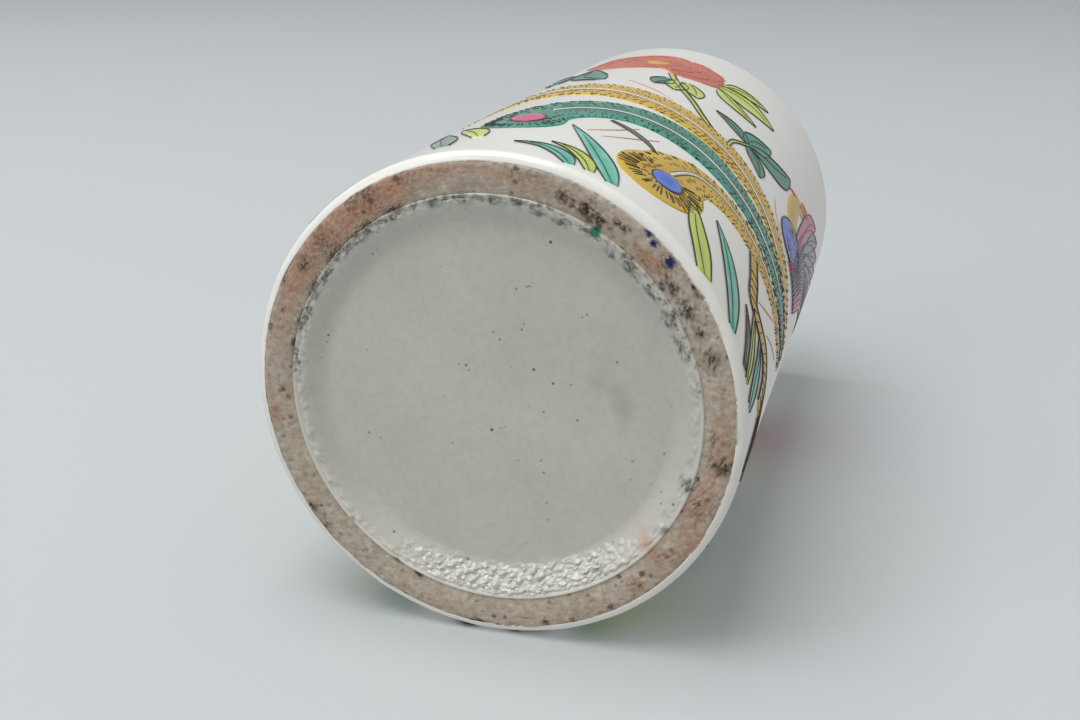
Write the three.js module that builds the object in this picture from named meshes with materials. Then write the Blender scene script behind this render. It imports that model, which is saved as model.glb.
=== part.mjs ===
// A cylindrical porcelain brush pot (bitong), standing upright on its foot ring.
// The axis is +Z, the foot stands on z = 0 and the origin is the centre of that
// resting circle. The clay body is three luted pieces and a seam coil, and three
// coats of glaze lie on it. Lengths are in millimetres.
import * as THREE from "three";

// Driving dimensions
const POT_HEIGHT = 128; // from the table to the crest of the lip
const BODY_RADIUS = 36; // outside of the glazed wall
const GLAZE = 0.4; // thickness of the outer and inner coats
const WALL = 4.8; // clay wall between its coats
const FOOT_HEIGHT = 3.2; // clay foot ring, which is also the depth of the recess in it
const FOOT_FACE = 3.8; // width of the flat unglazed face that it stands on
const FOOT_EDGE = 1.6; // radius of the foot's outer edge
const RECESS_SLOPE = 3.2; // width of the slope from the foot's face to the recess
const BASE_THICKNESS = 5.6; // clay base disc, on which the wall stands
const SEAM_RADIUS = 4; // concave coil of clay in the inside corner
const BASE_GLAZE = 0.6; // the base's coat, thicker because it pooled there

// Places worked out from them
const clayRadius = BODY_RADIUS - GLAZE;
const boreRadius = clayRadius - WALL;
const footFlatOuter = clayRadius - FOOT_EDGE;
const footFlatInner = footFlatOuter - FOOT_FACE;
const recessRadius = footFlatInner - RECESS_SLOPE;
const baseTop = FOOT_HEIGHT + BASE_THICKNESS;
const lipRadius = WALL / 2;
const lipCentreRadius = (clayRadius + boreRadius) / 2;
const lipCentreHeight = POT_HEIGHT - GLAZE - lipRadius;

// How finely the curves are faceted
const SEGMENTS = 64;
const LIP_STEPS = 4; // for each quarter of the lip
const EDGE_STEPS = 4;
const SLOPE_STEPS = 6;
const SEAM_STEPS = 5;

const point = (r, z) => new THREE.Vector2(r, z);
const degrees = (angle) => (angle * Math.PI) / 180;

// Points of an arc about (r, z), with 0 degrees pointing away from the axis.
function arc(r, z, radius, from, to, steps) {
  return Array.from({ length: steps + 1 }, (_, i) => {
    const angle = degrees(from + ((to - from) * i) / steps);
    return point(r + radius * Math.cos(angle), z + radius * Math.sin(angle));
  });
}

// The slope from the foot's face up into the recess, drawn in by thick where glaze lies on it.
function slope(thick) {
  return Array.from({ length: SLOPE_STEPS + 1 }, (_, i) => {
    const share = i / SLOPE_STEPS;
    const r = footFlatInner - RECESS_SLOPE * share;
    const z = (FOOT_HEIGHT * (1 - Math.cos(Math.PI * share))) / 2;
    return point(r - thick * Math.sin(Math.PI * share), z - thick * share);
  });
}

// Revolves an outline of (radius, height) points about +Z. Outlines run anticlockwise,
// up the outside and down the inside, and close on themselves or on the axis.
function turned(name, outline, material) {
  const onAxis = outline[0].x === 0 && outline.at(-1).x === 0;
  const profile = onAxis ? outline : [...outline, outline[0].clone()];
  const geometry = new THREE.LatheGeometry(profile, SEGMENTS);
  geometry.rotateX(Math.PI / 2);
  const mesh = new THREE.Mesh(geometry, material);
  mesh.name = name;
  return mesh;
}

const clay = (color) => new THREE.MeshStandardMaterial({ color, roughness: 0.85, metalness: 0 });
const glass = (color) => new THREE.MeshStandardMaterial({ color, roughness: 0.12, metalness: 0 });
const barePorcelain = clay(0xd9d2c6);
const stainedPorcelain = clay(0xb79f88);
const whiteGlaze = glass(0xeeede6);
const greyGlaze = glass(0xc9cbc3);

// The clay ring that the pot stands on: a flat bare face, a rounded outer edge and an inner slope.
function footRing() {
  const edge = arc(footFlatOuter, FOOT_EDGE, FOOT_EDGE, -90, 0, EDGE_STEPS);
  return turned(
    "foot_ring",
    [...edge, point(clayRadius, FOOT_HEIGHT), ...slope(0).reverse()],
    stainedPorcelain,
  );
}

// The clay disc that closes the pot, luted between the foot ring and the wall.
function baseSlab() {
  return turned(
    "base_slab",
    [point(0, FOOT_HEIGHT), point(clayRadius, FOOT_HEIGHT), point(clayRadius, baseTop), point(0, baseTop)],
    barePorcelain,
  );
}

// The thrown cylinder, with a half-round lip.
function wallCylinder() {
  const lip = arc(lipCentreRadius, lipCentreHeight, lipRadius, 0, 180, 2 * LIP_STEPS);
  return turned("wall_cylinder", [point(clayRadius, baseTop), ...lip, point(boreRadius, baseTop)], barePorcelain);
}

// The coil of clay pressed into the inside corner between the base and the wall.
function seamCoil() {
  const hollow = arc(boreRadius - SEAM_RADIUS, baseTop + SEAM_RADIUS, SEAM_RADIUS, 0, -90, SEAM_STEPS);
  return turned("seam_coil", [point(boreRadius, baseTop), ...hollow], barePorcelain);
}

// The coat on the outside, from the foot's rounded edge, where it was wiped off, up to the crest of the lip.
function outerGlaze() {
  const under = arc(lipCentreRadius, lipCentreHeight, lipRadius, 0, 90, LIP_STEPS);
  const over = arc(lipCentreRadius, lipCentreHeight, lipRadius + GLAZE, 0, 90, LIP_STEPS);
  return turned(
    "outer_glaze",
    [point(clayRadius, FOOT_EDGE), point(BODY_RADIUS, FOOT_EDGE + GLAZE), ...over, ...under.reverse()],
    whiteGlaze,
  );
}

// The coat inside, from the crest of the lip down the wall and across the floor.
function innerGlaze() {
  const lipUnder = arc(lipCentreRadius, lipCentreHeight, lipRadius, 90, 180, LIP_STEPS);
  const lipOver = arc(lipCentreRadius, lipCentreHeight, lipRadius + GLAZE, 90, 180, LIP_STEPS);
  const seamR = boreRadius - SEAM_RADIUS;
  const seamZ = baseTop + SEAM_RADIUS;
  const seamUnder = arc(seamR, seamZ, SEAM_RADIUS, 0, -90, SEAM_STEPS);
  const seamOver = arc(seamR, seamZ, SEAM_RADIUS - GLAZE, 0, -90, SEAM_STEPS);
  const under = [...lipUnder, ...seamUnder, point(0, baseTop)];
  const over = [...lipOver, ...seamOver, point(0, baseTop + GLAZE)];
  return turned("inner_glaze", [...under.reverse(), ...over], whiteGlaze);
}

// The coat in the recess under the base, with its edge partway up the foot ring's slope.
function baseGlaze() {
  const under = slope(0).slice(1);
  const over = slope(BASE_GLAZE).slice(1);
  return turned(
    "base_glaze",
    [point(0, FOOT_HEIGHT - BASE_GLAZE), ...over.reverse(), ...under, point(0, FOOT_HEIGHT)],
    greyGlaze,
  );
}

const pot = new THREE.Group();
pot.add(footRing(), baseSlab(), wallCylinder(), seamCoil(), outerGlaze(), innerGlaze(), baseGlaze());

export default pot;
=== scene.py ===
# The looks of a porcelain brush pot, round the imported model: glaze, bare foot and raised enamels.
import math
import random

import bmesh
import bpy
import numpy as np
from mathutils import Matrix, Vector, noise


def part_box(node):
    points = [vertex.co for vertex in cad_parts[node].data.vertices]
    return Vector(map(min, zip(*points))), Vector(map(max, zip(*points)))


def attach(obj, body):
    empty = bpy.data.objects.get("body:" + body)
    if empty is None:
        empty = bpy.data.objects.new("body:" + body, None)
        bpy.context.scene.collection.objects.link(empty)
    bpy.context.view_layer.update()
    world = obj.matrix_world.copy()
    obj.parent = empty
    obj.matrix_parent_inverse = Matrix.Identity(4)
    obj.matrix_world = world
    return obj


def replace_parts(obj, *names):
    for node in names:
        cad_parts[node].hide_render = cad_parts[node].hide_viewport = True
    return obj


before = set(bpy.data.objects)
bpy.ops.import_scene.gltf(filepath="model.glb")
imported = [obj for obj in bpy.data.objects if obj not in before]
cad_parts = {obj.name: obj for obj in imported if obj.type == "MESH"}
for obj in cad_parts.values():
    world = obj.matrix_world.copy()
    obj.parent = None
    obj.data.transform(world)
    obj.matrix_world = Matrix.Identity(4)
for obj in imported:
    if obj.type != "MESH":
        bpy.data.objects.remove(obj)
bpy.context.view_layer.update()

# Driving sizes, read from the frame, in millimetres
MM = 0.001
BODY = "root"
BODY_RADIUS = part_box("outer_glaze")[1].x / MM
CLAY_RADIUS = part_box("wall_cylinder")[1].x / MM
POT_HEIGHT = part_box("outer_glaze")[1].z / MM
GLAZE = BODY_RADIUS - CLAY_RADIUS
FOOT_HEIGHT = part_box("foot_ring")[1].z / MM
BASE_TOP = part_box("base_slab")[1].z / MM
BORE_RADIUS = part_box("seam_coil")[1].x / MM
SEAM_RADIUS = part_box("seam_coil")[1].z / MM - BASE_TOP

# Sizes that the frame's boxes don't give
FOOT_EDGE = 1.6  # radius of the foot's outer edge
FOOT_FACE = 3.8  # width of the foot's flat face
RECESS_SLOPE = 3.2  # width of the clay slope from the foot's face to the recess
BASE_GLAZE = 0.6  # thickness of the coat in the recess
DISH_SLOPE = 5.4  # how far that coat's dished surface rounds in from the foot
CROWN_RADIUS = 33.4  # the foot's face is worn inside this radius
CROWN_RISE = 0.5  # how far its inner side is worn back
WIPED_ANGLE = -62  # where the outer coat was wiped off, round the foot's edge, in degrees
EDGE_WANDER = 0.22  # how far that wiped edge wanders
WOBBLE = 0.05  # how far the thrown wall wanders
THROWING_RING = 0.05  # height of the spiral inside
BED = 0.02  # gap between a coat's underside and the clay

# Facets round the axis, more where grit and blisters need them
OUTER_FACETS = 288
INNER_FACETS = 192
FOOT_FACETS = 900
BASE_FACETS = 720
SEED = 7  # of the random draws

# Places worked out from them
LIP_RADIUS = (CLAY_RADIUS - BORE_RADIUS) / 2
LIP_CENTRE = ((CLAY_RADIUS + BORE_RADIUS) / 2, POT_HEIGHT - GLAZE - LIP_RADIUS)
SEAM_CENTRE = (BORE_RADIUS - SEAM_RADIUS, BASE_TOP + SEAM_RADIUS)
FACE_OUT = CLAY_RADIUS - FOOT_EDGE
FACE_IN = FACE_OUT - FOOT_FACE


# Colours and materials


def srgb(red, green, blue):
    """A colour as seen, 0 to 255 a channel, as linear light."""

    def linear(value):
        value /= 255
        return value / 12.92 if value <= 0.04045 else ((value + 0.055) / 1.055) ** 2.4

    return (linear(red), linear(green), linear(blue), 1.0)


class Nodes:
    """A material's node tree, with short calls for the nodes that repeat."""

    def __init__(self, name, roughness=0.5, coat=0.0, specular=0.5):
        self.material = bpy.data.materials.new(name)
        self.material.use_nodes = True
        self.tree = self.material.node_tree
        self.shader = self.tree.nodes["Principled BSDF"]
        self.shader.inputs["Roughness"].default_value = roughness
        self.shader.inputs["Coat Weight"].default_value = coat
        self.shader.inputs["Coat Roughness"].default_value = 0.05
        self.shader.inputs["Specular IOR Level"].default_value = specular
        self.place = self.tree.nodes.new("ShaderNodeTexCoord").outputs["Object"]

    def link(self, source, target):
        self.tree.links.new(source, target)

    def noise(self, scale, detail=3.0, rough=0.55):
        node = self.tree.nodes.new("ShaderNodeTexNoise")
        node.inputs["Scale"].default_value = scale
        node.inputs["Detail"].default_value = detail
        node.inputs["Roughness"].default_value = rough
        self.link(self.place, node.inputs["Vector"])
        return node.outputs["Fac"]

    def cells(self, scale):
        node = self.tree.nodes.new("ShaderNodeTexVoronoi")
        node.inputs["Scale"].default_value = scale
        self.link(self.place, node.inputs["Vector"])
        return node.outputs["Distance"]

    def attribute(self, name):
        node = self.tree.nodes.new("ShaderNodeAttribute")
        node.attribute_name = name
        return node.outputs["Fac"]

    def ramp(self, source, low, high, out_low=0.0, out_high=1.0):
        node = self.tree.nodes.new("ShaderNodeMapRange")
        keys = ("From Min", "From Max", "To Min", "To Max")
        for key, value in zip(keys, (low, high, out_low, out_high)):
            node.inputs[key].default_value = value
        self.link(source, node.inputs["Value"])
        return node.outputs["Result"]

    def math(self, operation, first, second):
        node = self.tree.nodes.new("ShaderNodeMath")
        node.operation = operation
        for socket, value in zip(node.inputs, (first, second)):
            if isinstance(value, (int, float)):
                socket.default_value = value
            else:
                self.link(value, socket)
        return node.outputs["Value"]

    def mix(self, factor, first, second):
        """Blends two colours, each from a socket or as seen, 0 to 255 a channel."""
        node = self.tree.nodes.new("ShaderNodeMix")
        node.data_type = "RGBA"
        self.link(factor, node.inputs[0])
        for socket, value in ((node.inputs[6], first), (node.inputs[7], second)):
            if isinstance(value, tuple):
                socket.default_value = srgb(*value)
            else:
                self.link(value, socket)
        return node.outputs[2]

    def bump(self, source, height_mm, strength=1.0):
        node = self.tree.nodes.new("ShaderNodeBump")
        node.inputs["Strength"].default_value = strength
        node.inputs["Distance"].default_value = height_mm * MM
        self.link(source, node.inputs["Height"])
        self.link(node.outputs["Normal"], self.shader.inputs["Normal"])

    def colour(self, source):
        self.link(source, self.shader.inputs["Base Color"])
        return self.material


def glaze_material(name, tint, deep, pinholes):
    """Clear glaze on porcelain: a little uneven in tint, faintly rippled, with dark pinholes."""
    nodes = Nodes(name, roughness=0.16, coat=0.35)
    cloudy = nodes.ramp(nodes.noise(45, 4), 0.3, 0.7)
    base = nodes.mix(cloudy, tint, deep)
    specks = nodes.ramp(nodes.cells(pinholes), 0.028, 0.05, 1.0, 0.0)
    rare = nodes.ramp(nodes.noise(260, 1), 0.62, 0.68)
    holes = nodes.math("MULTIPLY", specks, rare)
    nodes.bump(nodes.noise(320, 2), 0.012, 0.5)
    return nodes.colour(nodes.mix(holes, base, (96, 92, 84)))


def clay_material():
    """Bare porcelain clay, which only shows where a coat is thin or chipped."""
    nodes = Nodes("bare_clay", roughness=0.85, specular=0.25)
    grain = nodes.ramp(nodes.noise(1400, 3), 0.3, 0.7)
    nodes.bump(nodes.noise(1800, 2), 0.05)
    return nodes.colour(nodes.mix(grain, (226, 220, 209), (206, 197, 184)))


def foot_material():
    """Bare gritty clay, stained by point attributes that the foot's mesh carries."""
    nodes = Nodes("stained_foot", roughness=0.72, specular=0.3)
    grain = nodes.ramp(nodes.noise(900, 4, 0.65), 0.32, 0.68)
    fine = nodes.noise(1500, 3, 0.7)
    base = nodes.mix(grain, (204, 195, 180), (166, 154, 137))
    blotchy = nodes.ramp(nodes.noise(150, 3), 0.45, 0.7, 0.0, 0.6)
    base = nodes.mix(blotchy, base, (176, 156, 136))
    warm = nodes.mix(nodes.ramp(nodes.noise(220, 3), 0.4, 0.65), (184, 128, 94), (124, 80, 56))
    rusty = nodes.math("MULTIPLY", nodes.attribute("rust"), nodes.ramp(fine, 0.28, 0.62, 0.15, 1.0))
    base = nodes.mix(rusty, base, warm)
    dirty = nodes.math("MULTIPLY", nodes.attribute("dirt"), nodes.ramp(fine, 0.35, 0.55, 0.45, 1.0))
    base = nodes.mix(dirty, base, (58, 48, 42))
    dots = nodes.ramp(nodes.cells(620), 0.2, 0.36, 0.9, 0.0)
    dotted = nodes.math("MULTIPLY", dots, nodes.ramp(nodes.noise(230, 3), 0.5, 0.6))
    dotted = nodes.math("MULTIPLY", dotted, nodes.ramp(nodes.attribute("glazed"), 0.0, 0.6, 1.0, 0.0))
    base = nodes.mix(dotted, base, (104, 82, 66))
    base = nodes.mix(nodes.attribute("green_spot"), base, (20, 120, 96))
    base = nodes.mix(nodes.attribute("blue_spot"), base, (38, 40, 96))
    base = nodes.mix(nodes.attribute("glazed"), base, (236, 233, 222))
    roughness = nodes.ramp(nodes.attribute("glazed"), 0.2, 0.8, 0.72, 0.18)
    nodes.link(roughness, nodes.shader.inputs["Roughness"])
    nodes.bump(fine, 0.10, 0.8)
    return nodes.colour(base)


def base_glaze_material():
    """The grey glaze in the recess, with pale pooled lumps, a painted highlight on its slope, dirt
    caught at its edge and a rust run.
    """
    nodes = Nodes("grey_base_glaze", roughness=0.14, coat=0.6)
    cloudy = nodes.ramp(nodes.noise(60, 4), 0.3, 0.7)
    base = nodes.mix(cloudy, (208, 207, 196), (198, 198, 188))
    fine = nodes.ramp(nodes.noise(900, 2), 0.45, 0.62)
    speckle = nodes.math("MULTIPLY", fine, 0.10)
    base = nodes.mix(speckle, base, (150, 150, 142))
    specks = nodes.ramp(nodes.cells(330), 0.05, 0.1, 1.0, 0.0)
    holes = nodes.math("MULTIPLY", specks, nodes.ramp(nodes.noise(210, 1), 0.54, 0.6))
    base = nodes.mix(holes, base, (86, 86, 78))
    tiny = nodes.ramp(nodes.cells(800), 0.1, 0.2, 1.0, 0.0)
    tiny = nodes.math("MULTIPLY", tiny, nodes.ramp(nodes.noise(330, 2), 0.58, 0.63, 0.0, 0.7))
    base = nodes.mix(tiny, base, (110, 110, 100))
    smudges = nodes.ramp(nodes.noise(85, 2), 0.66, 0.78, 0.0, 0.35)
    base = nodes.mix(smudges, base, (152, 150, 122))
    # pale: the pooled lumps' own paler glaze, plus a painted highlight on the slope
    base = nodes.mix(nodes.attribute("pale"), base, (228, 226, 214))
    base = nodes.mix(nodes.attribute("rust"), base, (214, 168, 138))
    gritty = nodes.ramp(nodes.noise(1100, 3), 0.3, 0.6, 0.3, 1.0)
    dirty = nodes.math("MULTIPLY", nodes.attribute("dirt"), gritty)
    base = nodes.mix(dirty, base, (92, 92, 84))
    base = nodes.mix(nodes.attribute("green_spot"), base, (20, 120, 96))
    nodes.bump(nodes.noise(420, 2), 0.015, 0.5)
    return nodes.colour(base)


def enamel(name, thin, thick, roughness=0.2, grain=160):
    """A fired enamel. thin is its colour where the attribute depth is 0, thick where it is 1."""
    nodes = Nodes(name, roughness=roughness, coat=0.05, specular=0.3)
    streaky = nodes.ramp(nodes.noise(grain, 4, 0.6), 0.3, 0.7, -0.3, 0.3)
    depth = nodes.math("ADD", nodes.attribute("depth"), streaky)
    clamped = nodes.ramp(depth, 0.0, 1.0)
    nodes.bump(nodes.noise(700, 2), 0.02, 0.5)
    return nodes.colour(nodes.mix(clamped, thin, thick))


WHITE_GLAZE = glaze_material("white_glaze", (247, 246, 240), (241, 240, 232), 230)
FOOT = foot_material()
BASE_COAT = base_glaze_material()
CLAY = clay_material()
EMERALD = enamel("emerald_enamel", (30, 158, 134), (8, 110, 92))
TURQUOISE = enamel("turquoise_enamel", (146, 226, 204), (48, 172, 148))
LIME = enamel("lime_enamel", (222, 234, 122), (182, 204, 66))
OCHRE = enamel("ochre_enamel", (226, 192, 54), (196, 152, 18))
CORAL = enamel("coral_enamel", (208, 100, 74), (184, 64, 44))
ROSE = enamel("rose_enamel", (222, 112, 148), (190, 52, 96))
BLUE = enamel("blue_enamel", (96, 138, 226), (30, 72, 190))
MAUVE = enamel("mauve_enamel", (162, 150, 176), (104, 94, 130))
GREY_GREEN = enamel("grey_green_enamel", (150, 178, 160), (88, 118, 110))
INK = enamel("ink_line", (70, 52, 46), (48, 36, 34), roughness=0.3)
RED_LINE = enamel("iron_red_line", (212, 140, 116), (184, 92, 70), roughness=0.3)
IVORY = enamel("ivory_enamel", (244, 242, 232), (232, 228, 214))


# Meshes

WELD = 1e-7  # metres within which the points on the axis are merged


def linked(name, data):
    """An object of the scene that shows this data."""
    made = bpy.data.objects.new(name, data)
    bpy.context.scene.collection.objects.link(made)
    return made


def new_object(name, verts, faces, material, attributes, weld=False):
    """A smooth piece of the pot, from points in millimetres, with its faces turned outwards."""
    mesh = bpy.data.meshes.new(name)
    mesh.from_pydata([tuple(c * MM for c in v) for v in verts], [], faces)
    mesh.materials.append(material)
    for key, values in attributes.items():
        layer = mesh.attributes.new(key, "FLOAT", "POINT")
        layer.data.foreach_set("value", np.asarray(values, np.float32))
    work = bmesh.new()
    work.from_mesh(mesh)
    if weld:
        bmesh.ops.remove_doubles(work, verts=work.verts, dist=WELD)
    bmesh.ops.recalc_face_normals(work, faces=work.faces)
    work.to_mesh(mesh)
    work.free()
    mesh.polygons.foreach_set("use_smooth", [True] * len(mesh.polygons))
    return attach(linked(name, mesh), BODY)


def arc(r, z, radius, start, end, steps):
    """Points (r, z) of an arc, with 0 degrees pointing away from the axis."""
    turns = [math.radians(start + (end - start) * i / steps) for i in range(steps + 1)]
    return [(r + radius * math.cos(t), z + radius * math.sin(t)) for t in turns]


def line(start, end, steps):
    """Points (r, z) along a straight line."""
    return [tuple(a + (b - a) * i / steps for a, b in zip(start, end)) for i in range(steps + 1)]


def lathe(name, profile, segments, material, shift, paint=None):
    """Revolves a closed profile of (r, z).

    shift gives how far a point moves out and up, and paint gives its attributes, from (turn, r, z).
    """
    verts, faces, rows = [], [], len(profile)
    painted = {}
    for i in range(segments):
        turn = 2 * math.pi * i / segments
        for r, z in profile:
            dr, dz = shift(math.degrees(turn), r, z)
            verts.append(((r + dr) * math.sin(turn), -(r + dr) * math.cos(turn), z + dz))
            for key, value in (paint(math.degrees(turn), r, z) if paint else {}).items():
                painted.setdefault(key, []).append(value)
    for i in range(segments):
        after = (i + 1) % segments
        for j in range(rows):
            nxt = (j + 1) % rows
            if profile[j][0] == 0 and profile[nxt][0] == 0:
                continue
            faces.append((i * rows + j, after * rows + j, after * rows + nxt, i * rows + nxt))
    return new_object(name, verts, faces, material, painted, weld=True)


def limited(value):
    return max(0.0, min(1.0, value))


def turn_gap(turn, centre):
    """The signed angle from centre to turn, in degrees."""
    return (turn - centre + 180) % 360 - 180


def wobble(turn, z):
    """The slight unevenness of a wall thrown by hand."""
    a = math.radians(turn)
    return WOBBLE * noise.noise(Vector((1.3 * math.cos(a), 1.3 * math.sin(a), z / 30)))


# Glazed body


def outer_glaze():
    """The coat outside, from its ragged wiped edge round the foot up to the crest of the lip."""
    lip_r, lip_z = LIP_CENTRE
    roll = []
    for i in range(17):
        angle = math.radians(WIPED_ANGLE * (1 - i / 16))
        coat = FOOT_EDGE + GLAZE * min(1.0, i / 11 - 0.08)
        roll.append((FACE_OUT + coat * math.cos(angle), FOOT_EDGE + coat * math.sin(angle)))
    wall = line((BODY_RADIUS, FOOT_EDGE + 0.8), (BODY_RADIUS, lip_z), 90)
    over = arc(lip_r, lip_z, LIP_RADIUS + GLAZE, 0, 92, 14)[1:]
    under = arc(lip_r, lip_z, LIP_RADIUS + BED, 90, 0, 8)
    back = [(CLAY_RADIUS - 0.05, lip_z - 20)]
    back += arc(FACE_OUT, FOOT_EDGE, FOOT_EDGE - 0.08, 0, WIPED_ANGLE, 8)

    def shift(turn, r, z):
        edge = max(0.0, 1 - z / FOOT_EDGE)
        a = math.radians(turn)
        place = Vector((math.cos(a), math.sin(a), 0.4)) * 6
        ragged = EDGE_WANDER * edge * noise.fractal(place, 1.0, 2.2, 3)
        outside = r > CLAY_RADIUS - 0.9
        return (wobble(turn, z) * min(1.0, z / 4) - 0.5 * ragged if outside else 0.0, ragged)

    profile = roll + wall + over + under + back
    return lathe("outer_glaze_coat", profile, OUTER_FACETS, WHITE_GLAZE, shift)


def inner_glaze():
    """The coat inside, with the faint spiral that the thrower's fingers left."""
    lip_r, lip_z = LIP_CENTRE
    seam_r, seam_z = SEAM_CENTRE
    over = arc(lip_r, lip_z, LIP_RADIUS + GLAZE, 88, 180, 14)
    over += line((BORE_RADIUS - GLAZE, lip_z - 1), (BORE_RADIUS - GLAZE, seam_z), 40)
    over += arc(seam_r, seam_z, SEAM_RADIUS - GLAZE, 0, -90, 8)[1:]
    over += line((seam_r - 1, BASE_TOP + GLAZE), (0.0, BASE_TOP + GLAZE), 12)
    under = [(0.0, BASE_TOP + BED)] + arc(seam_r, seam_z, SEAM_RADIUS - BED, -90, 0, 8)
    under += arc(lip_r, lip_z, LIP_RADIUS + BED, 180, 90, 8)

    def shift(turn, r, z):
        facing_bore = 0 < r < BORE_RADIUS - GLAZE + 0.1 and z > seam_z
        ring = THROWING_RING * math.sin(z * 1.1 + math.radians(turn))
        return (ring if facing_bore else 0.0, 0.0)

    return lathe("inner_glaze_coat", over + under, INNER_FACETS, WHITE_GLAZE, shift)


# Stains on the foot: (angle, radius, angular half-size, radial half-size, strength), in degrees and
# mm. Angles run from -Y towards +X, as on the wall. Strength is 1 where it is left out.
RUST = [
    (-62, 33.2, 9, 1.8, 0.55), (-48, 33.4, 8, 2.0, 0.75), (-28, 33.2, 7, 2.0, 1.0),
    (-38, 32.6, 10, 2.0, 0.6), (-12, 34.0, 10, 1.4, 0.6), (7, 33.2, 6, 1.1, 0.7),
    (22, 32.4, 8, 1.2, 0.35), (43, 31.7, 3, 0.9, 1.0), (47, 32.3, 3, 0.8, 0.7),
    (88, 33.2, 6, 1.2, 0.5), (97, 33.0, 6, 1.6, 0.55), (110, 31.8, 6, 1.6, 0.8),
    (122, 34.0, 6, 1.4, 0.55), (129, 31.2, 3, 1.5, 0.7), (139, 33.0, 2.2, 0.8, 1.0),
    (-98, 33.8, 3, 0.8, 0.8), (-88, 34.2, 1, 0.4, 1.0), (-127, 34.0, 5, 0.7, 0.4),
    (160, 33.5, 12, 1.2, 0.25), (-165, 33.8, 10, 1.0, 0.2), (115, 33.2, 14, 2.0, 0.3),
    (-45, 33.3, 26, 2.1, 0.3),
]
DIRT = [
    (-34, 35.4, 2.4, 0.5), (-30, 35.0, 2.0, 0.4, 0.9), (-16, 35.3, 2, 0.3, 0.6),
    (19, 32.4, 1.5, 0.6, 0.9), (25, 32.1, 2.2, 0.8), (29, 31.8, 1.6, 0.6),
    (34, 32.9, 1.6, 0.4, 0.9), (52, 31.9, 2.0, 0.7, 0.8), (59, 32.0, 2.2, 0.8),
    (65, 32.3, 1.3, 0.6, 0.8), (99, 33.5, 1.6, 1.2), (72, 32.5, 2.5, 1.0, 0.5),
    (20, 35.2, 2, 0.5, 0.5), (3, 35.0, 2, 0.4, 0.5), (-62, 34.6, 1.2, 0.4, 0.6),
    (-56, 33.0, 1.5, 0.5, 0.5), (-124, 34.2, 1.0, 0.5, 0.8), (-130, 34.0, 0.8, 0.6, 0.7),
    (-176, 34.8, 1.8, 0.5, 0.9), (55, 34.4, 2.4, 0.4, 0.6), (148, 34.0, 0.8, 0.3, 0.9),
    (159, 34.2, 0.7, 0.4, 0.9), (166, 34.0, 0.7, 0.5, 0.9), (108, 35.2, 3, 0.3, 0.6),
    (124, 35.1, 3, 0.3, 0.7), (92, 31.5, 1.4, 0.4, 0.5), (-75, 34.5, 1, 0.3, 0.6),
    (-158, 30.6, 1.4, 0.5, 0.6),
]
EDGE_DIRT = [
    (-78, 30.5, 2.0, 0.4), (-70, 30.3, 3.0, 0.5), (-60, 30.2, 3.0, 0.6), (-48, 30.4, 4.0, 0.5),
    (-37, 30.3, 4.0, 0.5), (-26, 30.4, 3.0, 0.5), (-15, 29.6, 1.6, 0.6), (-7, 29.8, 1.2, 0.7),
    (2, 29.5, 1.6, 0.6), (8, 29.7, 1.4, 0.4), (14, 29.0, 1.4, 0.5), (20, 28.8, 2.0, 0.5),
    (36, 28.6, 1.6, 0.4), (43, 28.7, 2.2, 0.5), (51, 28.8, 2.2, 0.4), (59, 28.9, 2.0, 0.7),
    (67, 28.9, 3.0, 0.5), (107, 29.7, 1.6, 0.9), (122, 30.0, 1.2, 0.3), (104, 30.6, 1.0, 0.3),
    (-170, 26.2, 0.8, 0.25), (-133, 30.0, 0.6, 0.2), (-150, 30.3, 1.0, 0.3), (146, 28.2, 1.4, 0.4),
]
GREEN_SPOTS = [(29.5, 30.0, 0.9, 0.5, 1.3)]
BLUE_SPOTS = [
    (47.5, 33.9, 1.1, 0.6, 1.3), (39.8, 34.6, 0.9, 0.3), (42.2, 34.0, 0.8, 0.35),
    (58.5, 28.9, 0.8, 0.4),
]
RUST_RUN = [(129, 29.3, 1.6, 1.2, 0.9), (127, 27.8, 0.9, 1.0, 0.5)]

# The surface under the pot, in mm
GRIT = 0.12  # height of the foot's grain
PITS = 0.5  # depth of its pits
STUCK = 0.22  # height of the dirt on it
GRIT_END = 35.3  # beyond this radius its edge is smooth
CRUST_RADIUS = 29.7  # where the glaze in the recess meets the bare clay
POOLED_RADIUS = 28.4  # middle of the band where that glaze pooled and blistered
POOLED_TURN = 172  # and the side that it lies on, in degrees


def stain(spots, turn, r, rough=0.55):
    """How strongly a list of spots marks a place, 0 to 1, with ragged edges."""
    total = 0.0
    for angle, radius, wide, deep, *strength in spots:
        a, b = turn_gap(turn, angle) / wide, (r - radius) / deep
        near = a * a + b * b
        if near < 6:
            total += (strength[0] if strength else 1.0) * math.exp(-near * 0.9)
    if total < 0.02:
        return 0.0
    spread = Vector((math.radians(turn) * r * 1.6, r * 1.6, 3.0))
    ragged = noise.fractal(spread, 1.0, 2.1, 4) * rough
    return limited(total * (1 + ragged * 1.6) + ragged * 0.35)


def crust(turn, r):
    """The broken line of dark grit where the glaze in the recess meets the bare foot."""
    reach = limited((88 - abs(turn_gap(turn, -4))) / 12)
    near = reach * math.exp(-(((r - CRUST_RADIUS) / 0.6) ** 2))
    if near < 0.02:
        return 0.0
    a = math.radians(turn)
    grit = noise.fractal(Vector((r * math.sin(a), r * math.cos(a), 5)) * 1.1, 0.7, 2.2, 4)
    return limited(near * (0.25 + 2.6 * grit))


def recess_slope(share, height):
    """How high a slope of this height has risen from the foot's face, at a share of its width."""
    return height * (1 - math.cos(math.pi * share)) / 2


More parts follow.
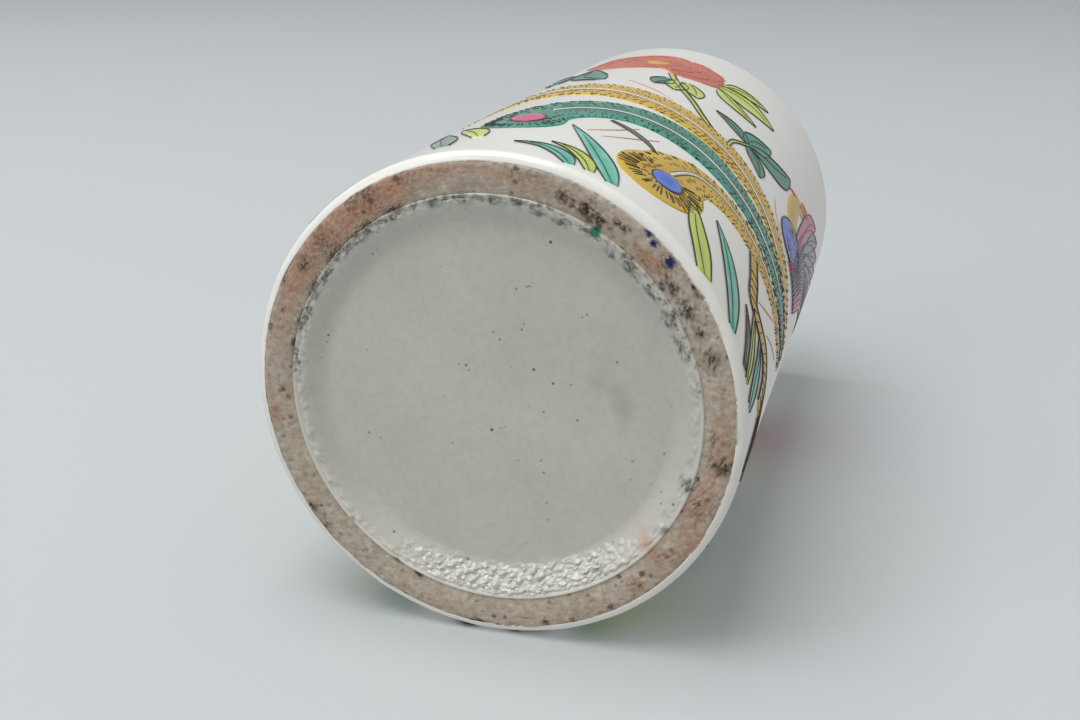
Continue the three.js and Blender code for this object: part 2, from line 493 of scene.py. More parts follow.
def foot_ring():
    """The bare foot: its worn face with grit and pits, its rounded edge and the slope inside."""
    steps = 26
    slope = []
    for i in range(steps + 1):
        share = 1 - i / steps
        slope.append((FACE_IN - RECESS_SLOPE * share, recess_slope(share, FOOT_HEIGHT)))
    face = line((FACE_IN, 0), (FACE_OUT, 0), steps)[1:-1]
    edge = arc(FACE_OUT, FOOT_EDGE, FOOT_EDGE, -90, 0, 14)
    side = line((CLAY_RADIUS, FOOT_EDGE + 0.1), (CLAY_RADIUS, FOOT_HEIGHT), 3)
    profile = slope + face + edge + side

    def shift(turn, r, z):
        if z > FOOT_HEIGHT - 0.5:  # the part that meets the recess
            return (0.0, 0.0)
        a = math.radians(turn)
        place = Vector((r * math.sin(a), r * math.cos(a), z)) * 1.5
        grain = GRIT * noise.fractal(place * 1.5, 0.8, 2.2, 4)
        pit = PITS * max(0.0, noise.noise(place * 0.9 + Vector((9, 4, 2))) - 0.3)
        stuck = STUCK * max(stain(DIRT, turn, r, 0.5), 0.6 * stain(EDGE_DIRT, turn, r, 0.5))
        crown = CROWN_RISE * (max(0.0, CROWN_RADIUS - r) / 3.2) ** 2
        loose = limited((GRIT_END - r) / 0.6)
        return (0.0, max(0.0, min(CROWN_RISE, crown) + (abs(grain) + pit + 0.05 - stuck) * loose))

    def paint(turn, r, z):
        bare = 1.0 if z < 1.0 else max(0.0, 1.6 - z)
        ragged = 0.35 * noise.noise(Vector((turn / 4, r, 11)))
        rim = r + 0.9 * (z if r > FACE_OUT else 0.0) + ragged
        edge_glaze = limited((rim - 34.7 - 0.5 * abs(turn_gap(turn, 20)) / 180) / 0.35)
        slope_glaze = limited((30.2 + 1.2 * ragged - r) / 0.5)
        edge_dirt = max(0.7 * stain(EDGE_DIRT, turn, r, 0.8), 0.8 * crust(turn, r))
        return {
            "rust": stain(RUST, turn, r) * bare,
            "dirt": min(1.0, 1.6 * max(stain(DIRT, turn, r, 0.8), edge_dirt)),
            "green_spot": min(1.0, 4 * stain(GREEN_SPOTS, turn, r, 0.2)),
            "blue_spot": min(1.0, 2.0 * stain(BLUE_SPOTS, turn, r, 0.9)),
            "glazed": max(edge_glaze, slope_glaze),
        }

    return lathe("gritty_foot_ring", profile, FOOT_FACETS, FOOT, shift, paint)


def base_glaze():
    """The coat in the recess: smooth in the middle, with crawled and pooled lumps along one side."""
    steps = 60
    floor_z = FOOT_HEIGHT - BASE_GLAZE
    buried = 0.3  # how far the coat's underside lies in the clay
    over, under = [], []
    for i in range(steps + 1):
        share = 1 - i / steps
        rim = 0.8 * (1 - share) ** 5
        over.append((FACE_IN + 0.35 - DISH_SLOPE * share, recess_slope(share, floor_z) + rim))
        share *= 0.98
        under.append((FACE_IN - RECESS_SLOPE * share, recess_slope(share, FOOT_HEIGHT) + buried))
    floor = line((0.0, floor_z), (over[0][0], floor_z), 70)[:-1]
    profile = floor + over + under[::-1] + [(0.0, FOOT_HEIGHT + buried)]

    def lumps(turn, r):
        aside = turn_gap(turn, POOLED_TURN)
        reach = limited(2.0 * (1 - abs(aside) / 44))
        middle = POOLED_RADIUS - 0.5 * math.cos(math.radians(aside * 3))
        return reach * math.exp(-(((r - middle) / 2.0) ** 4))

    def shift(turn, r, z):
        on_slope = r > FACE_IN - RECESS_SLOPE
        hidden = on_slope and z > recess_slope((FACE_IN - r) / RECESS_SLOPE, FOOT_HEIGHT) + 0.2
        if z > FOOT_HEIGHT - 0.01 or r < 0.01 or hidden:
            return (0.0, 0.0)
        a = math.radians(turn)
        place = Vector((r * math.sin(a), r * math.cos(a), 0))
        amount = lumps(turn, r)
        blister = noise.fractal(place * 0.62, 0.75, 2.3, 3) if amount > 0.01 else 0.0
        swell = 0.05 * noise.noise(place * 0.09)
        near_rim = limited((r - FACE_IN + 2.2) / 1.2)
        ragged = 0.3 * noise.fractal(place * 0.6, 0.8, 2.2, 3) * near_rim
        return (0.0, max(0.15 - z, swell + ragged - amount * 1.5 * abs(blister) + amount * 0.2))

    def paint(turn, r, z):
        # Painted highlight: the slope is paler towards the rim, a little all round and most on the table
        # side (turn -150), where it faces up to the overhead light. The pooled lumps are paler glaze of
        # their own.
        rim = limited((r - 28.6) / 1.6)
        low = max(0.0, math.cos(math.radians(turn_gap(turn, -150))))
        return {
            "pale": min(1.0, 0.75 * rim * (0.35 + 0.65 * low) + 0.7 * lumps(turn, r)),
            "rust": stain(RUST_RUN, turn, r, 0.3),
            "dirt": min(1.0, 1.3 * max(stain(EDGE_DIRT, turn, r, 0.8), crust(turn, r))),
            "green_spot": min(1.0, 4 * stain(GREEN_SPOTS, turn, r, 0.2)),
        }

    return lathe("base_glaze_coat", profile, BASE_FACETS, BASE_COAT, shift, paint)


# Enamels. A place on the wall is (turn in degrees from -Y towards +X, height in mm).

ARC_MM = math.radians(BODY_RADIUS)  # one degree of turn, in mm along the wall
SUNK = -0.06  # how far inside the glaze an enamel's underside lies

# Half-widths of the drawn lines, in mm
SHAFT = 0.30
EYE_BARB = 0.14
BARB = 0.095
DOWN = 0.1
VEIN = 0.09
LEAF_LINE = 0.105
STEM_LINE = 0.11
WING_LINE = 0.12
PETAL_LINE = 0.13
ROCK_LINE = 0.2
NARROW = 3  # points across such a line


def flat(turn, height):
    """A place on the wall, unrolled to millimetres."""
    return Vector((turn * ARC_MM, height))


def wrap(place, lift):
    """A point of the unrolled wall, lifted off the glaze, on the pot."""
    a = place.x / BODY_RADIUS
    r = BODY_RADIUS + lift + wobble(math.degrees(a) % 360, place.y)
    return (r * math.sin(a), -r * math.cos(a), place.y)


def smooth_path(points, steps=8):
    """A Catmull-Rom curve through (turn, height) places, unrolled."""
    p = [flat(*point) for point in points]
    p = [2 * p[0] - p[1], *p, 2 * p[-1] - p[-2]]
    made = []
    for before, here, then, after in zip(p, p[1:], p[2:], p[3:]):
        for k in range(steps):
            t = k / steps
            slope = (then - before) * t
            bend = (2 * before - 5 * here + 4 * then - after) * t * t
            twist = (3 * here - before - 3 * then + after) * t * t * t
            made.append(0.5 * (2 * here + slope + bend + twist))
    return made + [p[-2]]


def sides(path):
    """The unit normals, to the left of the way along, of an unrolled path."""
    found = []
    for i in range(len(path)):
        along = path[min(i + 1, len(path) - 1)] - path[max(i - 1, 0)]
        along.normalize()
        found.append(Vector((-along.y, along.x)))
    return found


class Layer:
    """Many enamel strokes of one colour, gathered into one piece."""

    def __init__(self, name, material, lift=0.0):
        self.name, self.material, self.lift = name, material, lift
        self.verts, self.faces, self.depth = [], [], []

    def add(self, place, lift, depth):
        self.verts.append(wrap(place, lift))
        self.depth.append(depth)

    def ribbon(self, path, widths, crown=0.12, across=7, depth=(0.1, 0.75)):
        """A stroke along an unrolled path.

        widths gives its (left, right) half-widths at a share of the way, and depth those of its
        colour at its sides and its middle.
        """
        normals, start, ring = sides(path), len(self.verts), across + 2
        for i, (place, side) in enumerate(zip(path, normals)):
            share = i / (len(path) - 1)
            left, right = widths(share)
            for j in range(across):
                v = math.sin(math.pi * (j / (across - 1) - 0.5))
                where = place + side * (left * v if v > 0 else right * v)
                height = self.lift + crown * math.sqrt(max(0.0, 1 - 0.85 * v * v))
                self.add(where, height, depth[0] + (depth[1] - depth[0]) * (1 - v * v))
            for v in (1, -1):
                self.add(place + side * (left * v if v > 0 else right * v), SUNK, depth[0])
        for i in range(len(path) - 1):
            for j in range(ring):
                a, b = start + i * ring + j, start + i * ring + (j + 1) % ring
                self.faces.append((a, b, b + ring, a + ring))
        last = start + (len(path) - 1) * ring
        self.faces.append(tuple(range(start, start + ring))[::-1])
        self.faces.append(tuple(range(last, last + ring)))

    def patch(self, centre, outline, crown=0.14, rings=4, depth=(0.3, 0.9)):
        """A domed patch round a centre. outline is a closed list of unrolled points."""
        start, count = len(self.verts), len(outline)
        middle = flat(*centre)
        self.add(middle, self.lift + crown, depth[1])
        for k in range(1, rings + 1):
            share = math.sin(0.5 * math.pi * k / rings)
            for place in outline:
                height = self.lift + crown * math.sqrt(max(0.0, 1 - 0.85 * share * share))
                shade = depth[1] + (depth[0] - depth[1]) * share * share
                self.add(middle.lerp(place, share), height, shade)
        for place in outline:
            self.add(place, SUNK, depth[0])
        self.add(middle, SUNK, depth[0])
        first = start + 1
        for i in range(count):
            j = (i + 1) % count
            self.faces.append((start, first + i, first + j))
            for k in range(rings):
                a = first + k * count
                self.faces.append((a + i, a + count + i, a + count + j, a + j))
            low = first + rings * count
            self.faces.append((low + j, low + i, len(self.verts) - 1))

    def done(self):
        return new_object(self.name, self.verts, self.faces, self.material, {"depth": self.depth})


def oval(centre, wide, tall, tilt=0.0, count=28, lobes=0, bite=0.0):
    """The unrolled outline of an oval on the wall, in mm, with optional lobes round it."""
    middle, made = flat(*centre), []
    c, s = math.cos(math.radians(tilt)), math.sin(math.radians(tilt))
    for i in range(count):
        t = 2 * math.pi * i / count
        swell = 1 + bite * math.cos(lobes * t)
        x, y = wide * swell * math.cos(t), tall * swell * math.sin(t)
        made.append(middle + Vector((x * c - y * s, x * s + y * c)))
    return made


def taper(wide, start=0.12, end=0.0, belly=0.45):
    """Half-widths of a blade: narrow at both ends, widest at belly."""

    def widths(share):
        x = share / belly if share < belly else (1 - share) / (1 - belly)
        low = start if share < belly else end
        w = wide * max(0.03, low + (1 - low) * math.sin(0.5 * math.pi * x) ** 0.9)
        return (w, w)

    return widths


def even(wide):
    """Half-widths of a line that stays as wide."""
    return lambda share: (wide, wide)


def pen(wide, start=0.35, end=0.25):
    """Half-widths of a brush line that swells in its middle."""

    def widths(share):
        low = start if share < 0.5 else end
        w = wide * (low + (1 - low) * math.sin(math.pi * share) ** 0.7)
        return (w, w)

    return widths


def offset(path, distance):
    """A path moved to its left by distance, which is a function of the share of the way."""
    last = len(path) - 1
    return [p + n * distance(i / last) for i, (p, n) in enumerate(zip(path, sides(path)))]


OUTLINES = Layer("ink_outlines", INK, 0.16)
RED_STROKES = Layer("iron_red_strokes", RED_LINE, 0.02)


def draw(path, widths, crown=0.05):
    """An ink line along an unrolled path."""
    OUTLINES.ribbon(path, widths, crown, NARROW)


def edge_lines(path, reach, widths, crown=0.04):
    """A drawn line on each side of a path, as far out as reach says at a share of the way."""
    for sign in (1, -1):
        draw(offset(path, lambda s: sign * reach(s)), widths, crown)


def blade(layer, points, wide, vein=True, start=0.5, end=0.0, belly=0.4):
    """A grass blade or leaf: a filled stroke with a brush line down each side and its vein."""
    path = smooth_path(points)
    widths = taper(wide, start, end, belly)
    layer.ribbon(path, widths)
    edge_lines(path, lambda s: widths(s)[0], pen(LEAF_LINE))
    if vein:
        cut = path[: int(len(path) * 0.85)]
        curve = offset(cut, lambda s: 0.25 * wide * math.sin(math.pi * s))
        draw(curve, pen(VEIN), 0.04)


def feather_band(layer, shaft_layer, barb_layer, points, half, shaft_points, rng, pitch=0.85):
    """A long tail feather: a vane, a pale shaft along it, and rows of short dark barbs."""
    path = smooth_path(points, 10)
    layer.ribbon(path, half, 0.14, across=9)
    shaft = smooth_path(shaft_points, 10)
    shaft_layer.ribbon(shaft, even(SHAFT), 0.10, NARROW)
    edge_lines(shaft, lambda s: 1.4 * SHAFT, even(VEIN), 0.03)
    rows = (0.28, 0.55, 0.82)
    normals, travelled = sides(path), 0.0
    for i in range(1, len(path) - 1):
        side = normals[i]
        travelled += (path[i] - path[i - 1]).length
        while travelled > pitch:
            travelled -= pitch
            left, right = half(i / (len(path) - 1))
            for reach in [left * k for k in rows] + [-right * k for k in rows]:
                if rng.random() < 0.25:
                    continue
                along = (path[i + 1] - path[i - 1]).normalized()
                root = path[i] + side * (reach + rng.uniform(-0.3, 0.3)) + along * rng.uniform(-0.3, 0.3)
                tip = side * (0.55 if reach > 0 else -0.55) + along * -0.35
                length = rng.uniform(0.8, 1.7)
                barb = [root, root + tip * length * 0.5, root + tip * length]
                barb_layer.ribbon(barb, pen(BARB), 0.03, NARROW)


def barb_ring(layer, centre, inner, outer, count, rng, gap=None):
    """Dark barbs radiating round the eye of a feather, in mm from its centre."""
    middle = flat(*centre)
    for i in range(count):
        t = 360 * i / count + rng.uniform(-3, 3)
        if gap and abs(turn_gap(t, gap[0])) < gap[1]:
            continue
        out = Vector((math.cos(math.radians(t)), math.sin(math.radians(t))))
        near, far = inner + rng.uniform(-0.3, 0.3), outer + rng.uniform(-0.5, 0.3)
        barb = [middle + out * r for r in (near, (near + far) / 2, far)]
        layer.ribbon(barb, pen(EYE_BARB, 0.8, 0.3), 0.04, NARROW)


def swelling(profile):
    """Half-widths read from a short list of (share, left, right) sizes."""

    def widths(share):
        for (s0, l0, r0), (s1, l1, r1) in zip(profile, profile[1:]):
            if share <= s1:
                t = (share - s0) / (s1 - s0)
                t = t * t * (3 - 2 * t)
                return (l0 + (l1 - l0) * t, r0 + (r1 - r0) * t)
        return profile[-1][1:]

    return widths


# The three long feathers: piece, enamel, path, (share, left, right) half-widths in mm, and shaft
FEATHERS = (
    (
        "upper_ochre_feather", OCHRE,
        [(-46, 36), (-36, 48), (-22, 57), (-8, 60), (8, 60), (25, 58), (42, 55.5), (60, 52),
         (78, 47.5), (96, 43)],
        [(0, 1.2, 1.2), (0.1, 5.4, 5.4), (0.3, 7.0, 7.2), (0.6, 5.6, 6.0), (0.85, 4.4, 3.6),
         (1, 1.4, 1.5)],
        [(-36, 47), (-20, 57.5), (0, 60), (25, 57.5), (45, 54.5), (62, 50), (70, 47.4)],
    ),
    (
        "emerald_feather", EMERALD,
        [(-5, 25), (-4, 31), (1, 37), (9, 41.5), (20, 44), (34, 44), (50, 42.5), (66, 41.5),
         (82, 41), (97, 41)],
        [(0, 4.5, 4.5), (0.06, 6.4, 6.6), (0.2, 6.6, 6.2), (0.5, 6.4, 5.4), (0.8, 4.6, 3.6),
         (1, 1.6, 1.6)],
        [(-1, 35.5), (5, 39.5), (14, 43), (28, 44.4), (44, 43.4), (62, 41.6), (78, 41.4)],
    ),
    (
        "lower_ochre_feather", OCHRE,
        [(33.5, 19), (34.5, 25), (38.5, 30), (46, 32.6), (56, 33.6), (68, 34), (82, 35), (96, 38)],
        [(0, 5.8, 5.8), (0.12, 5.4, 6.4), (0.3, 4.4, 5.4), (0.6, 3.2, 4.4), (0.85, 1.9, 2.6),
         (1, 0.8, 1.0)],
        [(34.8, 23), (37.5, 29), (42, 32.2), (52, 33.6), (66, 34.2), (78, 34.6)],
    ),
)


def tail_feathers(rng):
    """Three long feathers that sweep round the pot from the bird on its right."""
    barbs = Layer("feather_barbs", INK, 0.15)
    shafts = Layer("feather_shafts", IVORY, 0.15)
    vanes = [Layer(name, kind) for name, kind, *_ in FEATHERS]
    for vane, (_, _, path, half, shaft) in zip(vanes, FEATHERS):
        feather_band(vane, shafts, barbs, path, swelling(half), shaft, rng)
    vanes[1].patch((-4.5, 26.5), oval((-4.5, 26.5), 6.6, 7.4, 20), 0.14)
    vanes[2].patch((34, 18.8), oval((34, 18.8), 7.3, 9.6, -6), 0.14)
    blue_eye, pink_eye = (35, 18.6), (-4, 28)
    rim = Layer("feather_eye_rims", INK, 0.13)
    rim.patch(blue_eye, oval(blue_eye, 2.75, 3.5, 4, lobes=1, bite=0.04), 0.08)
    rim.patch(pink_eye, oval(pink_eye, 3.0, 4.0, 12), 0.08)
    blue = Layer("blue_feather_eye", BLUE, 0.20)
    blue.patch(blue_eye, oval(blue_eye, 2.4, 3.1, 4, lobes=1, bite=0.04), 0.12)
    pink = Layer("rose_feather_eye", ROSE, 0.20)
    pink.patch(pink_eye, oval(pink_eye, 2.5, 3.5, 12), 0.12)
    barb_ring(barbs, (34, 18.4), 4.3, 7.0, 46, rng, gap=(88, 34))
    barb_ring(barbs, (34.4, 18.6), 3.1, 3.9, 22, rng, gap=(88, 40))
    barb_ring(barbs, (-4.5, 26.8), 4.4, 6.2, 34, rng, gap=(60, 60))
    for layer in (*vanes, shafts, rim, blue, pink, barbs):
        layer.done()


def grasses():
    """Blades of grass and leaves that rise from the foot of the wall."""
    turquoise = Layer("turquoise_blades", TURQUOISE)
    lime = Layer("lime_blades", LIME)
    emerald = Layer("emerald_blade_tips", EMERALD)
    grey = Layer("grey_green_blades", GREY_GREEN)
    for points, wide in (
        ([(17, 3), (14, 6.4), (9, 8.6), (2, 8.6)], 1.5),
        ([(27, 3), (23, 9), (17, 16), (8, 25.5)], 1.75),
        ([(67, 1.8), (63, 9), (57, 16), (49.5, 22.5)], 1.9),
    ):
        blade(turquoise, points, wide)
    blade(lime, [(21.5, 3.4), (19, 7.4), (14.5, 10.6), (9, 12)], 1.3)
    blade(lime, [(54, 1.8), (50.5, 7.5), (46.5, 13), (42.5, 19.5)], 2.0, start=0.8, end=0.25)
    blade(lime, [(-8.5, 12.5), (-11, 17), (-15, 21), (-19, 24)], 1.8)
    blade(grey, [(-14, 7), (-17, 13), (-21, 19), (-24, 26)], 2.0)
    blade(grey, [(76, 2), (74, 7), (71, 11), (67.5, 14)], 0.9)
    blade(lime, [(79, 2), (77, 8), (74, 13), (70.5, 18)], 1.1)
    blade(turquoise, [(85, 2), (83.5, 8), (81, 13), (76.5, 17)], 1.6)
    blade(grey, [(14, 35), (20, 33), (25, 30.6), (29, 27.5)], 0.55, vein=False)
    blade(emerald, [(102, 3), (99, 10), (94, 15), (91, 18)], 1.7)
    for i in range(7):
        turn = 126 + i * 24 + (5 if i % 2 else -4)
        lean = 9 if i % 2 else -8
        tip = (turn + lean, 19 + i % 3 * 3)
        tall = [(turn, 2.2), (turn + lean * 0.2, 8), (turn + lean * 0.6, 14), tip]
        short = [(turn + 4, 2.2), (turn + 5, 6), (turn + 8, 9.5), (turn + 13, 11)]
        blade((turquoise, lime, grey, emerald)[i % 4], tall, 1.7)
        blade(turquoise if i % 2 else lime, short, 1.3)
    for layer in (turquoise, lime, emerald, grey):
        layer.done()


def leaf(layer, base, tip, wide, bend=0.0):
    """A pointed leaf from base to tip, with a vein."""
    a, b = flat(*base), flat(*tip)
    across = Vector((-(b - a).y, (b - a).x)) * bend
    middle = (a + b) / 2 + across
    points = [(p.x / ARC_MM, p.y) for p in (a, middle, b)]
    blade(layer, points, wide, belly=0.42, start=0.25)


def stem(layer, points, wide):
    """A stem with a line down each side."""
    path = smooth_path(points)
    layer.ribbon(path, even(wide), 0.1, NARROW)
    edge_lines(path, lambda s: wide, pen(STEM_LINE, 0.7, 0.7), 0.03)


def blossom(petals, heart, centre, size, rng, cup=0.75):
    """A peony from the side: three rows of overlapping petals over a heart, drawn in red lines."""
    cx, cy = centre
    for row, (count, reach, lift) in enumerate(((5, 0.62, 0.0), (4, 0.42, 0.05), (3, 0.22, 0.10))):
        petals.lift = lift
        for i in range(count):
            t = math.radians(200 - (220 / (count - 1)) * i + row * 9)
            x, y = size * reach * math.cos(t), size * reach * math.sin(t) * cup
            place = (cx + x / ARC_MM, cy + y)
            spread = size * (0.50 - 0.07 * row)
            shape = oval(place, spread, spread * 0.86, math.degrees(t) - 90, 26, lobes=5, bite=0.06)
            petals.patch(place, shape, 0.12, 3, (0.1 + 0.25 * row + rng.uniform(0, 0.2), 0.8))
            loop = shape + shape[:2]
            RED_STROKES.lift = lift + 0.12
            RED_STROKES.ribbon(loop, even(PETAL_LINE), 0.04, NARROW)
    petals.lift = 0.0
    heart.patch(centre, oval(centre, size * 0.16, size * 0.13), 0.1, 3)


def near_spray(red, heart, lime, emerald, stems, rng):
    """The peony over the feathers, with the leaves round it."""
    stem(stems, [(34, 61), (29, 66), (25, 71), (20, 77), (15, 84), (12, 90)], 0.62)
    stem(stems, [(40, 60), (40.5, 65), (44, 70)], 0.4)
    blossom(red, heart, (5, 99), 13.5, rng)
    for layer, base, tip, wide, bend in (
        (emerald, (13, 84), (11, 76), 2.2, 0.0),
        (lime, (16, 84), (17.5, 75), 2.3, 0.0),
        (lime, (19, 85), (24.5, 76), 2.4, 0.0),
        (lime, (26, 95), (48, 96), 4.4, 0.06),
        (lime, (27, 93), (43, 86), 2.4, -0.15),
        (lime, (28, 99), (43, 104), 2.6, 0.15),
        (emerald, (44, 71), (31, 75.5), 2.1, -0.1),
        (emerald, (44, 71), (51, 82.5), 3.0, 0.05),
        (emerald, (46, 71.5), (61.5, 84), 3.6, -0.12),
        (emerald, (44.5, 70), (52.5, 62), 2.2, 0.1),
        (emerald, (-4, 73), (-12, 90), 3.4, 0.1),
        (emerald, (-20, 78), (-28, 92), 3.0, -0.1),
    ):
        leaf(layer, base, tip, wide, bend)


def far_spray(kind, heart, lime, emerald, stems, rng, turn, height, lean, size):
    """A whole peony plant: a trunk with leaves, a blossom on it, and a bud on a side shoot."""
    trunk = [(turn - 2 * lean, 3), (turn - lean, 0.3 * height)]
    trunk += [(turn - 1.6 * lean, 0.6 * height), (turn, height - 6)]
    stem(stems, trunk, 0.62)
    blossom(kind, heart, (turn, height), size, rng)
    shoot = [(turn - 1.5 * lean, 0.55 * height), (turn + 0.4 * lean, 0.6 * height)]
    shoot += [(turn + 1.7 * lean, 0.5 * height)]
    stem(stems, shoot, 0.45)
    bud = (turn + 1.8 * lean, 0.5 * height - 3)
    kind.patch(bud, oval(bud, 3.0, 3.8, 10, lobes=3, bite=0.08), 0.16)
    leaf(lime, (bud[0], bud[1] + 5), (bud[0] - 0.5 * lean, bud[1] - 2), 1.6, 0.1)
    for j in range(7):
        way = 1 if j % 2 else -1
        share = 0.16 + 0.1 * j
        base = (turn - (1.2 + 0.3 * math.sin(6 * share)) * lean, share * height + 2)
        tip = (base[0] + (15 + rng.uniform(-2, 3)) * way, base[1] + rng.uniform(1, 9))
        leaf(emerald if j % 3 else lime, base, tip, 3.0 + rng.uniform(0, 0.8), 0.1 * way)


def flowers(rng):
    """Peonies with their stems and leaves, above the feathers and round the far side."""
    red = Layer("coral_peony", CORAL)
    pink = Layer("rose_peony", ROSE)
    heart = Layer("peony_hearts", OCHRE, 0.28)
    lime = Layer("lime_leaves", LIME)
    emerald = Layer("emerald_leaves", EMERALD)
    stems = Layer("lime_stems", LIME)
    near_spray(red, heart, lime, emerald, stems, rng)
    for i, (turn, height) in enumerate(((136, 86), (170, 60), (207, 95), (243, 66), (284, 88))):
        kind, lean = (red, 8) if i % 2 else (pink, -8)
        far_spray(kind, heart, lime, emerald, stems, rng, turn, height, lean, 14.5 - 0.5 * i)
    for layer in (red, pink, heart, lime, emerald, stems):
        layer.done()


def bird(rng):
    """The long-tailed bird that the feathers belong to, perched on the right of the view."""
    mauve = Layer("mauve_wing", MAUVE)
    blue = Layer("blue_breast", BLUE, 0.04)
    ochre = Layer("ochre_neck", OCHRE, 0.02)
    coral = Layer("coral_crest", CORAL, 0.04)
    rose = Layer("rose_wing_tips", ROSE, 0.02)
    quill = taper(2.1, 0.7, 0.1, 0.6)
    for i in range(9):
        root, bend = (78 + i * 1.2, 56), (77 + i * 2.3, 74)
        tip = (83 + i * 5.8, 108 - abs(i - 4) * 2.2)
        path = smooth_path([root, bend, (78 + i * 5.0, 90), tip])
        (rose if i in (0, 8) else mauve).ribbon(path, quill, 0.13)
        draw(path, pen(WING_LINE))
        edge_lines(path, lambda s: quill(s)[0], pen(WING_LINE))
    chest = (73.5, 63.5)
    breast = oval(chest, 5.0, 6.6, -12)
    blue.patch(chest, breast, 0.16)
    draw(breast + breast[:1], even(PETAL_LINE))
    for _ in range(22):
        root = flat(chest[0] + rng.uniform(-5, 5), chest[1] + rng.uniform(-4.5, 4.5))
        down = [root, root + Vector((0.5, -0.4)), root + Vector((1.1, -0.2))]
        draw(down, even(DOWN))
    neck = smooth_path([(71, 68), (68.5, 73), (67.5, 78), (69, 82)])
    ochre.ribbon(neck, taper(2.5, 1.0, 0.7, 0.2), 0.15)
    ochre.patch((69.5, 83), oval((69.5, 83), 2.5, 2.2), 0.16)
    OUTLINES.patch((70, 83.4), oval((70, 83.4), 0.35, 0.35, count=12), 0.05, 2)
    beak = smooth_path([(67, 82.6), (64.5, 82), (62.6, 80.6)])
    coral.ribbon(beak, taper(0.7, 0.9, 0.1, 0.1), 0.12, NARROW)
    for i in range(3):
        crest = smooth_path([(70 + i, 84.5), (71 + i * 1.8, 87.5), (74 + i * 2.4, 89.5)])
        coral.ribbon(crest, taper(0.7, 0.4, 0.6, 0.8), 0.12, NARROW)
    for layer in (mauve, blue, ochre, coral, rose):
        layer.done()


def rocks():
    """Pierced garden rocks in ochre, turquoise and grey green, with hatching."""
    ochre = Layer("ochre_rock", OCHRE)
    grey = Layer("grey_green_rock", GREY_GREEN)
    turquoise = Layer("turquoise_rock", TURQUOISE)
    branch = smooth_path([(63, 30), (66.5, 24), (69.5, 19), (76, 18.4), (83, 19), (89, 17), (92, 12)])
    knotty = [(0, 1.2, 1.2), (0.4, 1.6, 1.6), (0.8, 2.6, 2.2), (1, 2.0, 2.0)]
    ochre.ribbon(branch, swelling(knotty), 0.14)
    edge_lines(branch, lambda s: 1.2 + 1.1 * s, pen(ROCK_LINE, 0.8, 0.6), 0.05)
    for i in range(6, len(branch) - 3, 3):
        side = sides(branch)[i]
        root = branch[i] - side * 1.1
        hatch = [root, root + side * 0.9 + Vector((0.3, 0)), root + side * 1.9 + Vector((0.8, 0))]
        draw(hatch, pen(WING_LINE))
    for turn, high, kind in (
        (176, 13, turquoise),
        (186, 9, grey),
        (222, 12, ochre),
        (231, 8, turquoise),
        (268, 12, grey),
        (309, 10, turquoise),
        (318, 8, ochre),
    ):
        shape = oval((turn, high), high * 0.62, high * 0.8, turn, 32, lobes=4, bite=0.12)
        kind.patch((turn, high), shape, 0.16)
        draw(shape + shape[:1], pen(ROCK_LINE, 0.7, 0.7))
        for j in range(3):
            middle = (turn + j - 1, high + j - 1)
            ring = oval(middle, high * (0.12 + 0.12 * j), high * (0.16 + 0.14 * j), turn + 20 * j, 20)
            draw(ring[: 12 + 2 * j], pen(PETAL_LINE))
    for layer in (ochre, grey, turquoise):
        layer.done()


def red_accents():
    """The thin iron-red strokes between the motifs."""
    RED_STROKES.lift = 0.0
    for points in (
        [(21, 36), (17, 30), (12, 24.5)],
        [(27, 35), (22, 29), (16, 23.5)],
        [(80, 31), (76, 27), (71, 22.5)],
        [(90, 31), (84, 27), (79.5, 23)],
        [(4, 74), (12, 70), (20, 66)],
        [(60, 64), (63, 59), (68, 56)],
    ):
        RED_STROKES.ribbon(smooth_path(points), pen(0.22), 0.07, NARROW, depth=(0.2, 0.5))


def replace_nodes():
    """Puts the detailed coats and foot in place of the plain ones, and dresses the hidden clay."""
    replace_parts(outer_glaze(), "outer_glaze")
    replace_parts(inner_glaze(), "inner_glaze")
    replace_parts(foot_ring(), "foot_ring")
    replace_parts(base_glaze(), "base_glaze")
    for node in ("wall_cylinder", "base_slab", "seam_coil"):
        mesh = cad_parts[node].data
        mesh.materials.clear()
        mesh.materials.append(CLAY)


# Stage: the pale table that the pot lies on in the photograph, which touches its +Y side

TABLE_REACH = 6.0  # metres from the pot to the table's edge
TABLE_GAP = 0.3  # mm between the table and the wall, which leaves room for the enamels


def table():
    """The table top. Only a camera on the pot's side of it sees it, so it shades nothing."""
    mesh = bpy.data.meshes.new("table")
    y = (BODY_RADIUS + TABLE_GAP) * MM
    corners = [(-1, -1), (1, -1), (1, 1), (-1, 1)]
    mesh.from_pydata([(x * TABLE_REACH, y, z * TABLE_REACH) for x, z in corners], [], [(0, 1, 2, 3)])
    made = linked("table", mesh)
    nodes = Nodes("table_top", roughness=0.7, specular=0.2)
    nodes.shader.inputs["Base Color"].default_value = srgb(199, 204, 206)
    new = nodes.tree.nodes.new
    behind = new("ShaderNodeNewGeometry").outputs["Backfacing"]
    seen = new("ShaderNodeLightPath").outputs["Is Camera Ray"]
    clear = nodes.math("MAXIMUM", behind, nodes.math("SUBTRACT", 1.0, seen))
    mixer = new("ShaderNodeMixShader")
    nodes.link(clear, mixer.inputs[0])
    nodes.link(nodes.shader.outputs[0], mixer.inputs[1])
    nodes.link(new("ShaderNodeBsdfTransparent").outputs[0], mixer.inputs[2])
    nodes.link(mixer.outputs[0], nodes.tree.nodes["Material Output"].inputs["Surface"])
    mesh.materials.append(nodes.material)


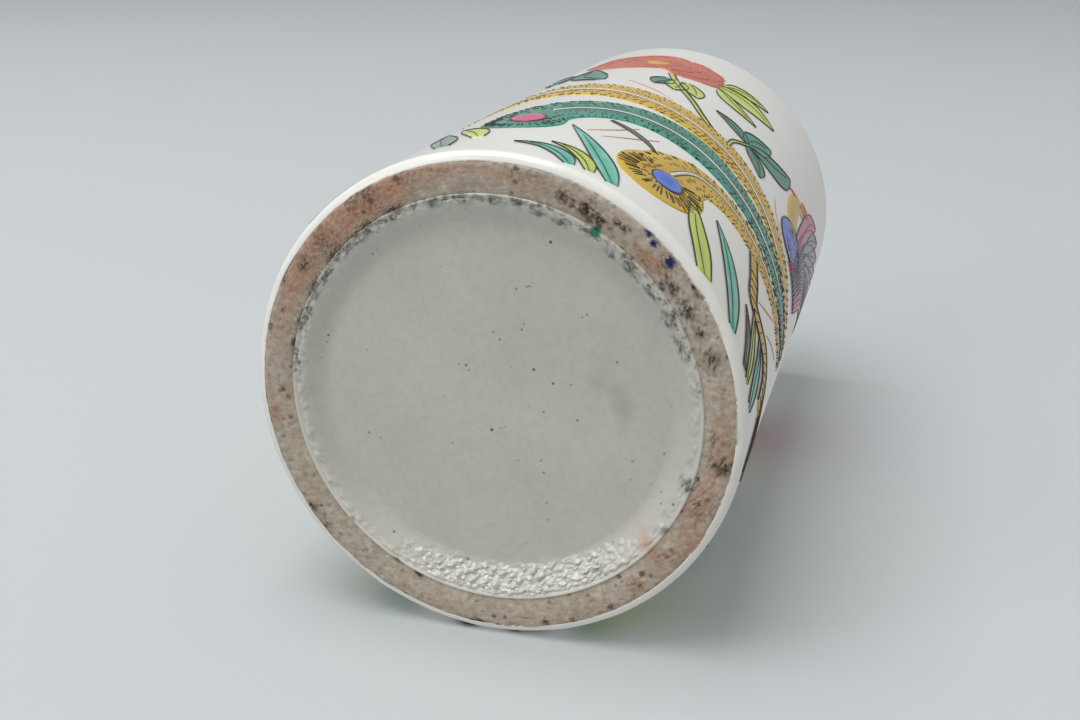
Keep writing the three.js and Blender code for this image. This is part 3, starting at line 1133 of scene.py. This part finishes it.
def softbox(name, place, target, size, power):
    """A square soft light, in metres and watts."""
    data = bpy.data.lights.new(name, "AREA")
    data.size = size
    data.energy = power
    made = linked(name, data)
    made.location = place
    made.rotation_mode = "QUATERNION"
    made.rotation_quaternion = (Vector(target) - Vector(place)).to_track_quat("-Z", "Y")


def studio():
    """An even pale world, a large light over the table and a weak one that fills the foot."""
    world = bpy.data.worlds.new("studio")
    bpy.context.scene.world = world
    world.use_nodes = True
    background = world.node_tree.nodes["Background"]
    background.inputs["Color"].default_value = (0.90, 0.915, 0.92, 1)
    background.inputs["Strength"].default_value = 0.5
    softbox("overhead", (-0.4, -1.5, -0.2), (0, 0, 0.05), 1.2, 17.0)
    softbox("front_left", (-0.9, -0.7, -1.0), (0, 0, 0.02), 0.8, 3.6)


# The camera's place in mm and its directions, in the pot's frame, fitted to the pot's outline in
# the photograph
CAMERA_PLACE = (55.3, -68.4, -164.7)
CAMERA_RIGHT = Vector((0.9603, 0.0, 0.2791))
CAMERA_AHEAD = Vector((-0.2631, 0.3334, 0.9053))
FOCAL_PIXELS = 1330.0
PHOTO_WIDTH = 1080.0
SENSOR_WIDTH = 36.0


def camera():
    """The camera of the photograph."""
    data = bpy.data.cameras.new("camera")
    data.sensor_width = SENSOR_WIDTH
    data.lens = SENSOR_WIDTH * FOCAL_PIXELS / PHOTO_WIDTH
    data.clip_start = 0.01
    made = linked("camera", data)
    ahead = CAMERA_AHEAD.normalized()
    right = (CAMERA_RIGHT - ahead * CAMERA_RIGHT.dot(ahead)).normalized()
    above = right.cross(ahead)
    axes = Matrix((right, above, -ahead)).transposed().to_4x4()
    made.matrix_world = Matrix.Translation(Vector(CAMERA_PLACE) * MM) @ axes
    bpy.context.scene.camera = made


def main():
    camera()
    replace_nodes()
    rng = random.Random(SEED)
    tail_feathers(rng)
    grasses()
    flowers(rng)
    bird(rng)
    rocks()
    red_accents()
    OUTLINES.done()
    RED_STROKES.done()
    table()
    studio()
    bpy.context.scene.view_settings.view_transform = "Standard"


main()
